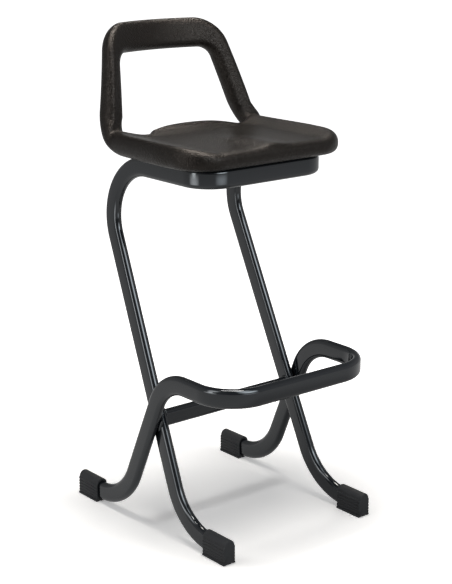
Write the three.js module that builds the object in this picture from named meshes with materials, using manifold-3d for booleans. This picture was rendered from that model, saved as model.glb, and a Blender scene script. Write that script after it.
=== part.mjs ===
// A bar stool with a low open back. Two bent tubes with flat sides cross and are welded together: one runs
// from the front feet up to the seat frame, the other from the rear feet forward to the footrest. The seat
// and the back ring are one foam moulding, screwed to two straps across the seat frame.
// Millimetres, +Z up, the sitter faces -Y, and X is left and right.
import * as THREE from "three";
import { mergeVertices } from "three/addons/utils/BufferGeometryUtils.js";
import Module from "manifold-3d";

const wasm = await Module();
wasm.setup();

const degrees = Math.PI / 180;

// Driving dimensions of the tube and of the whole stool
const tubeBroad = 39;
const tubeThin = 19;
const tubeWall = 2;
const fitGap = 0.3;
const overrun = 2;
const seatFrameTop = 746;
const footrestTop = 347;
const tubeTipSpan = 461;

// Leg loop: front foot, slanted leg, bend under the seat, seat frame
const legHalfSpan = 178.5;
const legSplay = 2.16 * degrees;
const legLean = 24.2 * degrees;
const legFootRun = 50;
const legFootBend = 129.5;
const legSeatBend = 107.5;
const seatRailRun = 128;
const seatCornerBend = 55.5;

// Footrest loop: rear foot, slanted leg, arch over the crossing, footrest
const rearSplay = 0.94 * degrees;
const rearLean = 24 * degrees;
const rearFootRun = 62;
const rearFootBend = 126.5;
const rearArchBend = 96;
const footrestRailRun = 48.5;
const footrestCornerBend = 81;

// Crossbar between the front legs, a little below the crossing
const crossbarDrop = 1;
const crossbarBroad = 35.5;
const crossbarThin = 18;

// Rubber feet: a sleeve with a round top, ribbed sides and a grooved flared base
const footLength = 68;
const footEndWall = 7;
const footBase = 4.7;
const footHeight = 50;
const footHalfWidth = 12.4;
const footRibDepth = 1.2;
const footRibCount = 5;
const footFlareHalf = 14.7;
const footFlareHeight = 3;
const footFlareRise = 1.8;
const footGrooveDepth = 1.2;
const footGrooveCentre = 6;
const footGrooveHalf = 2.5;
const footGrooveFlank = 0.8;

// Seat straps and their screws
const strapWidth = 28;
const strapThickness = 4;
const strapDrop = 4;
const strapInset = 18;
const screwHalfSpacing = 78;
const screwDiameter = 8;
const screwLength = 25;
const screwHeadAcross = 13;
const screwHeadHeight = 5.3;
const screwHeadSides = 6;
const washerDiameter = 17;
const washerThickness = 1.6;
const bossDiameter = 28;

// Hard parts inside the moulding: insert plate, threaded inserts, hoop rod
const plateHalfWidth = 120;
const plateThickness = 3;
const plateFrontReach = 55;
const plateRearReach = 25;
const skinUnderInsert = 6;
const insertFlangeDiameter = 20;
const insertFlangeThickness = 1.6;
const insertBarrelDiameter = 12;
const insertBarrelLength = 11;
const rodDiameter = 10;
const rodHalfSpacing = 112;

// Moulding: seat and back ring in one piece
const padFrontOverhang = 21.5;
const padDepth = 320;
const padThickness = 44;
const postThickness = 35;
const railThickness = 28.5;
const backLean = 13.1 * degrees;
const outerBend = 101;
const innerBend = 27;
const backRun = 165.5;
const padFrontHalf = 194;
const padMiddleHalf = 202;
const padRearHalf = 195;
const backTopHalf = 135.5;
const frontCorner = 74;
const sideEase = 300;
const bendEase = 200;
const topCorner = 63;
const postWidthLow = 50;
const postWidthHigh = 38.5;
const railHeight = 56.5;
const holeLead = 4.5;
const holeLowCorner = 40;
const holeHighCorner = 27;
const tongueReach = 59;
const tongueHalfWidth = 121;
const tongueBlend = 8;
const seatEdge = 19;
const postEdge = 10;
const holeEdge = 13;
const rimDraft = 6.5;
const holeDraft = 8.5;
const railBow = 37.5;
const dishDepth = 11;
const dishSideInset = 8;
const dishRunIn = 70;
const pommelRise = 6;
const pommelHalfWidth = 32;
const pommelLength = 170;
const pommelFrontRun = 10;
const pommelRearRun = 90;

// Weld beads
const beadRadius = 4.4;
const beadRipple = 0.45;
const beadRippleCount = 5;
const strapBeadRadius = 3;
const collarSpread = 3.2;
const collarDepth = 3;

// Shares of the sizes that they follow
const widestSeatShare = 0.45;
const rearWidthBendShare = 0.5;
const postStartBendShare = 0.4;
const bowAtBaseShare = 0.45;
const toeInShare = 0.075;
const dishRearBendShare = 0.2;
const rodBendShares = [0.35, 0.75];
const rodPostShares = [0.15, 0.5, 0.75];
const rodCornerShare = 0.8;
const edgeSquarenessShare = 0.8;

// Facets: how finely the round forms are divided
const bendFacet = 11 * degrees;
const ovalFacets = 5;
const roundFacets = 12;
const cornerFacets = 5;
const padSpokes = [10, 7, 7];
const padEdgeFacets = 2;
const padAcrossFacets = 3;
const outlineCount = 120;
const outlineTurnWeight = 60;
const rodFacets = 8;
const rodStationCount = 32;
const roomFacets = 6;
const beadFacets = 8;

// Finishes
const powderCoat = { color: 0x2f3236, roughness: 0.32, metalness: 0.5 };
const rubber = { color: 0x2e3032, roughness: 0.85, metalness: 0 };
const foamSkin = { color: 0x1d1817, roughness: 0.55, metalness: 0 };
const zincPlate = { color: 0xa9adb0, roughness: 0.35, metalness: 1 };
const plainSteel = { color: 0x6f7276, roughness: 0.5, metalness: 1 };

const stool = new THREE.Group();

// Adds one named piece to the stool.
function piece(name, geometry, finish) {
  const mesh = new THREE.Mesh(geometry, new THREE.MeshStandardMaterial(finish));
  mesh.name = name;
  stool.add(mesh);
  return mesh;
}

// A closed geometry as a solid that can be cut and joined.
function solidOf(geometry) {
  const bare = geometry.clone();
  bare.deleteAttribute("normal");
  bare.deleteAttribute("uv");
  const merged = mergeVertices(bare);
  const triVerts = new Uint32Array(merged.index.array);
  const vertProperties = new Float32Array(merged.attributes.position.array);
  return new wasm.Manifold(new wasm.Mesh({ numProp: 3, vertProperties, triVerts }));
}

// A solid as a geometry again, with flat faces.
function geometryOf(solid) {
  const mesh = solid.getMesh();
  const geometry = new THREE.BufferGeometry();
  geometry.setAttribute("position", new THREE.BufferAttribute(mesh.vertProperties, 3));
  geometry.setIndex(new THREE.BufferAttribute(mesh.triVerts, 1));
  const flat = geometry.toNonIndexed();
  flat.computeVertexNormals();
  return flat;
}

// A solid with every cutter taken away.
function cut(solid, cutters) {
  return cutters.reduce((rest, cutter) => rest.subtract(cutter), solid);
}

function lerp(a, b, share) {
  return a + (b - a) * share;
}

function clamped(value) {
  return Math.min(1, Math.max(0, value));
}

// Rises from 0 to 1 with level ends.
function eased(value) {
  const share = clamped(value);
  return share * share * (3 - 2 * share);
}

// A path for ExtrudeGeometry that is given by its stations: a point, the direction along the path, and the
// direction that the section's x axis takes there. The section's y axis is square to both.
class StationPath extends THREE.Curve {
  constructor(stations) {
    super();
    this.stations = stations;
  }

  getSpacedPoints() {
    return this.stations.map((station) => station.point.clone());
  }

  computeFrenetFrames() {
    return {
      tangents: this.stations.map((station) => station.along.clone()),
      normals: this.stations.map((station) => station.across.clone()),
      binormals: this.stations.map((s) => s.upright ?? s.along.clone().cross(s.across)),
    };
  }
}

function station(point, along, across, upright) {
  return { point, along, across, upright };
}

// Sweeps a closed section, with any holes, along stations.
function sweep(section, stations) {
  return new THREE.ExtrudeGeometry(section, {
    steps: stations.length - 1,
    extrudePath: new StationPath(stations),
  });
}

// Points of a flat-sided oval: two half circles joined by straight sides, its long way along y.
function ovalPoints(broad, thin) {
  const radius = thin / 2;
  const reach = broad / 2 - radius;
  const points = [];
  for (const end of [1, -1]) {
    for (let i = 0; i <= ovalFacets; i += 1) {
      const angle = (end > 0 ? 0 : Math.PI) + (Math.PI * i) / ovalFacets;
      points.push(new THREE.Vector2(radius * Math.cos(angle), end * reach + radius * Math.sin(angle)));
    }
  }
  return points;
}

function ovalBar(broad, thin) {
  return new THREE.Shape(ovalPoints(broad, thin));
}

function ovalTube(broad, thin) {
  const section = ovalBar(broad, thin);
  section.holes.push(new THREE.Path(ovalPoints(broad - 2 * tubeWall, thin - 2 * tubeWall).reverse()));
  return section;
}

// A line bent in one plane. It starts at (0, 0) along +u, and each bend turns it to the left for a positive
// angle. It gives u, v and the heading at each station.
function bentLine(steps) {
  const line = [{ u: 0, v: 0, heading: 0 }];
  for (const { run, turn, radius } of steps) {
    const from = line[line.length - 1];
    if (run !== undefined) {
      const u = from.u + run * Math.cos(from.heading);
      const v = from.v + run * Math.sin(from.heading);
      line.push({ u, v, heading: from.heading });
      continue;
    }
    const facets = Math.ceil(Math.abs(turn) / bendFacet);
    const side = Math.sign(turn);
    for (let i = 1; i <= facets; i += 1) {
      const heading = from.heading + (turn * i) / facets;
      const u = from.u + side * radius * (Math.sin(heading) - Math.sin(from.heading));
      const v = from.v - side * radius * (Math.cos(heading) - Math.cos(from.heading));
      line.push({ u, v, heading });
    }
  }
  return line;
}

// One side of a tube loop, on the left: its foot, leg and rail lie in an upright plane that leans inwards by
// the splay, and its front corner turns level to the middle of the stool. way is 1 where the foot points to
// the front and the line starts backwards, and -1 where it is the other way round.
function halfLoop({ line, halfSpan, splay, tipY, way, corner }) {
  const stations = line.map(({ u, v, heading }) => {
    const point = new THREE.Vector3(
      -(halfSpan - v * Math.sin(splay)),
      tipY + way * u,
      tubeAxisHeight + v * Math.cos(splay),
    );
    const rise = Math.sin(heading);
    const along = new THREE.Vector3(rise * Math.sin(splay), way * Math.cos(heading), rise * Math.cos(splay));
    const across = new THREE.Vector3(Math.cos(splay), 0, -Math.sin(splay));
    return station(point, along, across);
  });
  const end = stations[stations.length - 1];
  end.across = new THREE.Vector3(1, 0, 0);
  for (const { u, v, heading } of bentLine([{ turn: Math.PI / 2, radius: corner }]).slice(1)) {
    const point = end.point.clone().add(new THREE.Vector3(v, -u, 0));
    const along = new THREE.Vector3(Math.sin(heading), -Math.cos(heading), 0);
    const across = new THREE.Vector3(Math.cos(heading), Math.sin(heading), 0);
    stations.push(station(point, along, across));
  }
  return stations;
}

function mirrored(vector) {
  return new THREE.Vector3(-vector.x, vector.y, vector.z);
}

// The whole loop from the stations of its left side.
function wholeLoop(half) {
  const right = [...half].reverse();
  return [
    ...half,
    ...right.map((s) => station(mirrored(s.point), mirrored(s.along).negate(), mirrored(s.across))),
  ];
}

// The same stations with the first and last one moved outwards by a length.
function lengthened(stations, length) {
  const longer = stations.map((s) => station(s.point.clone(), s.along, s.across));
  longer[0].point.addScaledVector(longer[0].along, -length);
  const last = longer[longer.length - 1];
  last.point.addScaledVector(last.along, length);
  return longer;
}

// Leg loop
const tubeAxisHeight = footBase + fitGap + tubeBroad / 2;
const legRise = Math.PI / 2 - legLean;
const legFullRise = (seatFrameTop - tubeBroad / 2 - tubeAxisHeight) / Math.cos(legSplay);
const legBendsRise = legFootBend * (1 - Math.cos(legRise)) + legSeatBend * (1 + Math.cos(legRise));
const legRun = (legFullRise - legBendsRise) / Math.sin(legRise);
const legLine = bentLine([
  { run: legFootRun },
  { turn: legRise, radius: legFootBend },
  { run: legRun },
  { turn: Math.PI - legRise, radius: legSeatBend },
  { run: seatRailRun },
]);
const legHalf = halfLoop({
  line: legLine,
  halfSpan: legHalfSpan,
  splay: legSplay,
  tipY: 0,
  way: 1,
  corner: seatCornerBend,
});
const legStations = wholeLoop(legHalf);
piece("leg_loop", sweep(ovalTube(tubeBroad, tubeThin), legStations), powderCoat);

// Rear line of the footrest loop, in its own plane
const rearRise = Math.PI / 2 - rearLean;
const rearFullRise = (footrestTop - tubeBroad / 2 - tubeAxisHeight) / Math.cos(rearSplay);
const rearBendsRise = (rearFootBend + rearArchBend) * (1 - Math.cos(rearRise));
const rearRun = (rearFullRise - rearBendsRise) / Math.sin(rearRise);
const rearLine = bentLine([
  { run: rearFootRun },
  { turn: rearRise, radius: rearFootBend },
  { run: rearRun },
  { turn: -rearRise, radius: rearArchBend },
  { run: footrestRailRun },
]);

// The crossing, seen from the side, is where the two bent lines meet. Places are y and the height above the
// tube's axis at the floor, and each line gives its direction there.
const legSide = legLine.map(({ u, v }) => new THREE.Vector2(u, v * Math.cos(legSplay)));
const rearSide = rearLine.map(({ u, v }) => new THREE.Vector2(tubeTipSpan - u, v * Math.cos(rearSplay)));

function crossingOf(first, second) {
  for (let i = 1; i < first.length; i += 1) {
    for (let j = 1; j < second.length; j += 1) {
      const firstStep = first[i].clone().sub(first[i - 1]);
      const secondStep = second[j].clone().sub(second[j - 1]);
      const apart = second[j - 1].clone().sub(first[i - 1]);
      const full = firstStep.cross(secondStep);
      const onFirst = apart.cross(secondStep) / full;
      const onSecond = apart.cross(firstStep) / full;
      if (clamped(onFirst) === onFirst && clamped(onSecond) === onSecond) {
        const place = first[i - 1].clone().addScaledVector(firstStep, onFirst);
        return { place, firstWay: firstStep.normalize(), secondWay: secondStep.normalize() };
      }
    }
  }
  return undefined;
}
const crossing = crossingOf(legSide, rearSide);
const crossingY = crossing.place.x;
const crossingLift = crossing.place.y;
const crossingZ = tubeAxisHeight + crossingLift;
const legHalfAtCrossing = legHalfSpan - crossingLift * Math.tan(legSplay);

// The rear legs stand outside the front legs, a tube's thickness out at the crossing. The planes of the two
// loops lean differently, so the gap there is a little wider than at a plain fit.
const crossingGap = fitGap + (tubeBroad / 2) * Math.abs(Math.tan(legSplay - rearSplay));
const rearHalfSpan = legHalfAtCrossing + tubeThin + crossingGap + crossingLift * Math.tan(rearSplay);
const rearHalf = halfLoop({
  line: rearLine,
  halfSpan: rearHalfSpan,
  splay: rearSplay,
  tipY: tubeTipSpan,
  way: -1,
  corner: footrestCornerBend,
});
const rearStations = wholeLoop(rearHalf);
piece("footrest_loop", sweep(ovalTube(tubeBroad, tubeThin), rearStations), powderCoat);

// The two loops as full bars, a fit gap larger all round, cut the pieces that meet them.
function loopCutter(stations) {
  const section = ovalBar(tubeBroad + 2 * fitGap, tubeThin + 2 * fitGap);
  return solidOf(sweep(section, lengthened(stations, fitGap)));
}
const legCutter = loopCutter(legStations);
const rearCutter = loopCutter(rearStations);

// Crossbar between the inner faces of the front legs, with ends that lean as the legs do
function crossbarSection(grow) {
  return ovalBar(crossbarBroad + 2 * grow, crossbarThin + 2 * grow);
}
const crossbarZ = crossingZ - crossbarDrop;
const crossbarY = crossingY - crossbarDrop * Math.tan(legLean);
const legHalfAtCrossbar = legHalfAtCrossing + crossbarDrop * Math.tan(legSplay);
const crossbarHalf = legHalfAtCrossbar - (tubeThin / 2 + fitGap) / Math.cos(legSplay);
const crossbarStations = [-1, 1].map((side) =>
  station(
    new THREE.Vector3(side * crossbarHalf, crossbarY, crossbarZ),
    new THREE.Vector3(1, 0, 0),
    new THREE.Vector3(0, 1, 0),
    new THREE.Vector3(-side * Math.tan(legSplay), 0, 1),
  ),
);
const crossbarTube = ovalTube(crossbarBroad, crossbarThin);
piece("crossbar", sweep(crossbarTube, crossbarStations), powderCoat);

// Section of a rubber foot, with the middle of its base at the origin
function footSection() {
  const side = [
    [footGrooveCentre - footGrooveHalf, 0],
    [footGrooveCentre - footGrooveHalf + footGrooveFlank, footGrooveDepth],
    [footGrooveCentre + footGrooveHalf - footGrooveFlank, footGrooveDepth],
    [footGrooveCentre + footGrooveHalf, 0],
    [footFlareHalf, 0],
    [footFlareHalf, footFlareHeight],
    [footHalfWidth, footFlareHeight + footFlareRise],
  ];
  const ribsFrom = footFlareHeight + footFlareRise;
  const topCentre = footHeight - footHalfWidth;
  const pitch = (topCentre - ribsFrom) / footRibCount;
  for (let i = 0; i < footRibCount; i += 1) {
    const low = ribsFrom + pitch * i;
    side.push([footHalfWidth + footRibDepth, low + pitch / 3]);
    side.push([footHalfWidth + footRibDepth, low + (2 * pitch) / 3]);
    side.push([footHalfWidth, low + pitch]);
  }
  for (let i = 1; i < cornerFacets; i += 1) {
    const angle = ((Math.PI / 2) * i) / cornerFacets;
    side.push([footHalfWidth * Math.cos(angle), topCentre + footHalfWidth * Math.sin(angle)]);
  }
  const points = side.map(([x, z]) => new THREE.Vector2(x, z));
  const others = side.map(([x, z]) => new THREE.Vector2(-x, z)).reverse();
  return new THREE.Shape([...points, new THREE.Vector2(0, footHeight), ...others]);
}

// A foot on each tube end: a sleeve over the tube with a thick closed end.
function foot(name, x, tipY, way, cutter) {
  const endY = tipY - way * footEndWall;
  const along = new THREE.Vector3(0, way, 0);
  const across = new THREE.Vector3(-way, 0, 0);
  const stations = [endY, endY + way * footLength].map((y) =>
    station(new THREE.Vector3(x, y, 0), along, across),
  );
  piece(name, geometryOf(solidOf(sweep(footSection(), stations)).subtract(cutter)), rubber);
}
foot("foot_front_left", -legHalfSpan, 0, 1, legCutter);
foot("foot_front_right", legHalfSpan, 0, 1, legCutter);
foot("foot_rear_left", -rearHalfSpan, tubeTipSpan, -1, rearCutter);
foot("foot_rear_right", rearHalfSpan, tubeTipSpan, -1, rearCutter);

// A weld bead along +Y about the origin: a lathe of a rippled line with round ends.
function bead(radius, length) {
  const rows = 2 * beadRippleCount;
  const profile = [];
  for (let i = 0; i <= rows; i += 1) {
    const share = i / rows;
    const swell = Math.sqrt(Math.sin(Math.PI * share));
    const ripple = beadRipple * Math.cos(2 * Math.PI * beadRippleCount * share);
    const middle = i === 0 || i === rows ? 0 : radius * swell - ripple * swell;
    profile.push(new THREE.Vector2(middle, length * (share - 1 / 2)));
  }
  return new THREE.LatheGeometry(profile, beadFacets);
}

// Beads at the crossings, along both edges of the rear leg where it lies on the front leg
const rearWay = crossing.secondWay;
const crossingSine = Math.abs(crossing.firstWay.cross(rearWay));
const crossingBeadLength = (tubeBroad - tubeThin) / crossingSine + beadRadius;
const crossingBeadReach = tubeBroad / 2 - beadRipple;
const contactHalf = legHalfAtCrossing + tubeThin / 2;
for (const [sideName, side] of [["left", -1], ["right", 1]]) {
  for (const [placeName, place] of [["front", -1], ["rear", 1]]) {
    const geometry = bead(beadRadius, crossingBeadLength);
    geometry.rotateX(rearWay.angle());
    geometry.translate(
      side * (contactHalf + beadRadius / 2),
      crossingY + place * crossingBeadReach * rearWay.y,
      crossingZ - place * crossingBeadReach * rearWay.x,
    );
    const solid = cut(solidOf(geometry), [legCutter, rearCutter]);
    piece(`weld_crossing_${sideName}_${placeName}`, geometryOf(solid), powderCoat);
  }
}

// A collar of weld round each end of the crossbar
for (const [sideName, side] of [["left", -1], ["right", 1]]) {
  const ring = crossbarSection(collarSpread);
  const inside = ovalPoints(crossbarBroad + 2 * fitGap, crossbarThin + 2 * fitGap);
  ring.holes.push(new THREE.Path(inside.reverse()));
  const along = new THREE.Vector3(side, 0, 0);
  const across = new THREE.Vector3(0, side, 0);
  const outer = crossbarHalf + overrun;
  const stations = [outer - collarDepth - overrun, outer].map((x) =>
    station(new THREE.Vector3(side * x, crossbarY, crossbarZ), along, across),
  );
  const solid = cut(solidOf(sweep(ring, stations)), [legCutter]);
  const whole = solid.decompose().sort((a, b) => b.volume() - a.volume())[0];
  piece(`weld_crossbar_${sideName}`, geometryOf(whole), powderCoat);
}

// Seat straps: flat bars between the rails of the seat frame, let in below its top
const seatRail = legLine[legLine.length - 1];
const railHalf = legHalfSpan - seatRail.v * Math.sin(legSplay);
const railFrontY = seatRail.u;
const railRearY = railFrontY + seatRailRun;
const strapTop = seatFrameTop - strapDrop;
const strapBottom = strapTop - strapThickness;
const strapPlaces = [
  ["front", railFrontY + strapInset],
  ["rear", railRearY - strapInset],
];
const screwPlaces = strapPlaces.flatMap(([row, y]) => [
  [`${row}_left`, -screwHalfSpacing, y],
  [`${row}_right`, screwHalfSpacing, y],
]);

// An upright cylinder between two heights
function disc(diameter, low, high, x, y, facets = roundFacets) {
  const geometry = new THREE.CylinderGeometry(diameter / 2, diameter / 2, high - low, facets);
  geometry.rotateX(Math.PI / 2);
  geometry.translate(x, y, (low + high) / 2);
  return geometry;
}

// A prism with few sides that holds such a cylinder, for hollows that stay out of sight
function discRoom(diameter, low, high, x, y) {
  return disc(diameter / Math.cos(Math.PI / roomFacets), low, high, x, y, roomFacets);
}

function block(halfWidth, depth, low, high, y) {
  const geometry = new THREE.BoxGeometry(2 * halfWidth, depth, high - low);
  geometry.translate(0, y, (low + high) / 2);
  return geometry;
}

const screwHole = screwDiameter + 2 * fitGap;
for (const [row, y] of strapPlaces) {
  const bar = solidOf(block(railHalf, strapWidth, strapBottom, strapTop, y));
  const holes = [-1, 1].map((side) =>
    solidOf(disc(screwHole, strapBottom - overrun, strapTop + overrun, side * screwHalfSpacing, y)),
  );
  piece(`seat_strap_${row}`, geometryOf(cut(bar, [legCutter, ...holes])), powderCoat);
  const grown = strapWidth + 2 * fitGap;
  const room = solidOf(block(railHalf, grown, strapBottom - fitGap, strapTop + fitGap, y));
  for (const [sideName, side] of [["left", -1], ["right", 1]]) {
    const geometry = bead(strapBeadRadius, strapWidth);
    geometry.translate(side * (railHalf - tubeThin / 2), y, strapBottom);
    const solid = cut(solidOf(geometry), [legCutter, room]);
    piece(`weld_strap_${row}_${sideName}`, geometryOf(solid), powderCoat);
  }
}

// Moulding, seen from the side: its underside and back are one line of a level run, a bend and a leaning
// run, and its top and front are another. Both are walked by the sheet length s of the first line.
const padBottom = seatFrameTop + fitGap;
const padFrontY = railFrontY - seatCornerBend - tubeThin / 2 - padFrontOverhang;
const backTurn = Math.PI / 2 - backLean;
const backUp = new THREE.Vector2(Math.sin(backLean), Math.cos(backLean));
const backForward = new THREE.Vector2(-Math.cos(backLean), Math.sin(backLean));
const outerCorner = new THREE.Vector2(padFrontY + padDepth, padBottom);
const outerTangent = outerBend * Math.tan(backTurn / 2);
const outerEnd = outerCorner.clone().addScaledVector(backUp, outerTangent + backRun);
const innerFoot = outerCorner.clone().addScaledVector(backForward, postThickness);
const innerRise = (padBottom + padThickness - innerFoot.y) / backUp.y;
const innerCorner = innerFoot.addScaledVector(backUp, innerRise);
const innerEnd = outerEnd.clone().addScaledVector(backForward, railThickness);
const seatRun = padDepth - outerTangent;
const bendRun = outerBend * backTurn;
const sheetLength = seatRun + bendRun + backRun;

function sidePoint(s, corner, radius, end) {
  const tangent = radius * Math.tan(backTurn / 2);
  const turn = clamped((s - seatRun) / bendRun) * backTurn;
  const backShare = clamped((s - seatRun - bendRun) / backRun);
  const bendEnd = corner.clone().addScaledVector(backUp, tangent);
  const seatY = lerp(padFrontY, corner.x - tangent, clamped(s / seatRun));
  return new THREE.Vector2(
    seatY + radius * Math.sin(turn) + (end.x - bendEnd.x) * backShare,
    corner.y + radius * (1 - Math.cos(turn)) + (end.y - bendEnd.y) * backShare,
  );
}

// How far the top surface lies below the full thickness: two thigh hollows with a pommel between them.
function dishAt(x, s) {
  const side = eased((padMiddleHalf - Math.abs(x) - dishSideInset) / dishRunIn);
  const rear = eased((seatRun + bendRun * dishRearBendShare - s) / dishRunIn);
  const pommelEnds = eased(s / pommelFrontRun) * eased((pommelLength - s) / pommelRearRun);
  const pommel = pommelRise * Math.exp(-((x / pommelHalfWidth) ** 2)) * pommelEnds;
  return (dishDepth * side - pommel) * rear;
}

// A point of the moulding: x across, s along the sheet, and depth from 0 on the underside and back to 1 on
// the top and front. The back ring bows backwards in the middle and its posts are turned inwards.
function padPoint(x, s, depth) {
  const under = sidePoint(s, outerCorner, outerBend, outerEnd);
  const over = sidePoint(s, innerCorner, innerBend, innerEnd);
  const risen = eased((s - seatRun) / bendRun);
  const backShare = clamped((s - seatRun - bendRun) / backRun);
  const bowShare = risen * lerp(bowAtBaseShare, 1, backShare) * (1 - (x / backTopHalf) ** 2);
  return new THREE.Vector3(
    x * (1 + toeInShare * risen * (1 - depth)),
    lerp(under.x, over.x, depth) + railBow * bowShare,
    lerp(under.y, over.y, depth) - dishAt(x, s) * depth ** 2,
  );
}

// Arc points at a corner of an outline, from the corner, its neighbours and its radius.
function roundedCorner(before, corner, after, radius) {
  const back = before.clone().sub(corner).normalize();
  const on = after.clone().sub(corner).normalize();
  const half = Math.acos(back.dot(on)) / 2;
  const centre = back.clone().add(on).normalize().multiplyScalar(radius / Math.sin(half)).add(corner);
  const start = corner.clone().addScaledVector(back, radius / Math.tan(half)).sub(centre);
  const turn = (Math.PI - 2 * half) * Math.sign(back.cross(start));
  const points = [];
  for (let i = 0; i <= cornerFacets; i += 1) {
    const spot = start.clone().rotateAround(new THREE.Vector2(), (turn * i) / cornerFacets);
    points.push(spot.add(centre));
  }
  return points;
}

// Right half of the moulding's outer outline on the sheet, from the front middle to the top middle
const widestS = widestSeatShare * seatRun;
const rearWidthS = seatRun + rearWidthBendShare * bendRun;
const outerCorners = [
  new THREE.Vector2(0, 0),
  new THREE.Vector2(padFrontHalf, 0),
  new THREE.Vector2(padMiddleHalf, widestS),
  new THREE.Vector2(padRearHalf, rearWidthS),
  new THREE.Vector2(backTopHalf, sheetLength),
  new THREE.Vector2(0, sheetLength),
];
const outerRadii = [frontCorner, sideEase, bendEase, topCorner];
const outerOutline = [
  outerCorners[0],
  ...outerRadii.flatMap((radius, i) =>
    roundedCorner(outerCorners[i], outerCorners[i + 1], outerCorners[i + 2], radius),
  ),
  outerCorners[5],
];

// Half width of the outer outline along a post
function postHalf(s) {
  return lerp(padRearHalf, backTopHalf, (s - rearWidthS) / (sheetLength - rearWidthS));
}

// Right half of the hole's outline: the seat's rear edge with its tongue, the post and the rail
const holeS = seatRun - holeLead;
const holeTopS = sheetLength - railHeight;
const holeLow = new THREE.Vector2(postHalf(holeS) - postWidthLow, holeS);
const holeHigh = new THREE.Vector2(postHalf(holeTopS) - postWidthHigh, holeTopS);
const lowCorner = roundedCorner(new THREE.Vector2(0, holeS), holeLow, holeHigh, holeLowCorner);
const highCorner = roundedCorner(holeLow, holeHigh, new THREE.Vector2(0, holeTopS), holeHighCorner);
const tongueEnd = lowCorner[0].x;

function tongueSwell(x) {
  const reach = tongueReach * (1 - (x / tongueHalfWidth) ** 2);
  return (reach + Math.hypot(reach, tongueBlend)) / 2;
}
const tongueFacets = 2 * cornerFacets;
const tongue = [];
for (let i = 0; i < tongueFacets; i += 1) {
  const x = (tongueEnd * i) / tongueFacets;
  tongue.push(new THREE.Vector2(x, holeS + tongueSwell(x) - tongueSwell(tongueEnd)));
}

// How far a line turns where its step number i starts
function turnBefore(points, i) {
  if (i < 2) {
    return 0;
  }
  const before = points[i - 1].clone().sub(points[i - 2]);
  const after = points[i].clone().sub(points[i - 1]);
  return before.angleTo(after);
}

// Points along a line, both ends included, at equal lengths. Each turn counts as some length more, so a
// turn weight above 0 draws the points to the corners.
function resampled(points, count, turnWeight = 0) {
  const lengths = [0];
  for (let i = 1; i < points.length; i += 1) {
    const step = points[i].distanceTo(points[i - 1]) + turnWeight * turnBefore(points, i);
    lengths.push(lengths[i - 1] + step);
  }
  const full = lengths[lengths.length - 1];
  const result = [];
  for (let i = 0; i < count; i += 1) {
    const want = (full * i) / count;
    const next = lengths.findIndex((length) => length > want);
    const share = (want - lengths[next - 1]) / (lengths[next] - lengths[next - 1]);
    result.push(points[next - 1].clone().lerp(points[next], share));
  }
  result.push(points[points.length - 1].clone());
  return result;
}

// Spokes from the outer outline to the hole's, matched over the seat, the post and the rail
const fineOutline = resampled(outerOutline, outlineCount);
const postStartS = seatRun + postStartBendShare * bendRun;
const postStart = fineOutline.findIndex((point) => point.y > postStartS);
const railStart = fineOutline.findIndex((point) => point.y > highCorner[0].y);
const lowMiddle = Math.floor(lowCorner.length / 2);
const outerStretches = [
  fineOutline.slice(0, postStart + 1),
  fineOutline.slice(postStart, railStart + 1),
  fineOutline.slice(railStart),
];
const holeStretches = [
  [...tongue, ...lowCorner.slice(0, lowMiddle + 1)],
  [...lowCorner.slice(lowMiddle), highCorner[0]],
  [...highCorner, new THREE.Vector2(0, holeTopS)],
];

function joinedStretches(stretches, turnWeight) {
  const parts = stretches.map((stretch, i) => resampled(stretch, padSpokes[i], turnWeight));
  const right = parts.flatMap((part, i) => (i < parts.length - 1 ? part.slice(0, -1) : part));
  const left = right.slice(1, -1).reverse().map((point) => new THREE.Vector2(-point.x, point.y));
  return [...right, ...left];
}
const rimPoints = joinedStretches(outerStretches, outlineTurnWeight);
const holePoints = joinedStretches(holeStretches, 0);

function squared(value) {
  return Math.sign(value) * Math.abs(value) ** edgeSquarenessShare;
}

// Rows across one spoke, as a distance along it and a depth: up round the outer edge, over the top, down
// round the hole's edge and back along the underside. Each edge has a radius, and a draft by which the
// outside widens and the hole widens from the back to the front.
function spokeRows(length, rim, hole) {
  const rows = [];
  const rimRadius = Math.min(rim.radius, length / 2);
  const holeRadius = Math.min(hole.radius, length / 2);
  const edgeAngles = [];
  for (let i = -padEdgeFacets; i <= padEdgeFacets; i += 1) {
    edgeAngles.push(((Math.PI / 2) * i) / padEdgeFacets);
  }
  for (const angle of edgeAngles) {
    const rise = squared(Math.sin(angle)) / 2;
    rows.push([rimRadius * (1 - squared(Math.cos(angle))) - rim.draft * rise, 1 / 2 + rise]);
  }
  const topRim = rimRadius - rim.draft / 2;
  const topHole = length - holeRadius - hole.draft / 2;
  for (let i = 1; i < padAcrossFacets; i += 1) {
    rows.push([lerp(topRim, topHole, i / padAcrossFacets), 1]);
  }
  for (const angle of edgeAngles.reverse()) {
    const rise = squared(Math.sin(angle)) / 2;
    rows.push([length - holeRadius * (1 - squared(Math.cos(angle))) - hole.draft * rise, 1 / 2 + rise]);
  }
  const lowRim = topRim + rim.draft;
  const lowHole = topHole + hole.draft;
  for (let i = padAcrossFacets - 1; i > 0; i -= 1) {
    rows.push([lerp(lowRim, lowHole, i / padAcrossFacets), 0]);
  }
  return rows;
}

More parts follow.
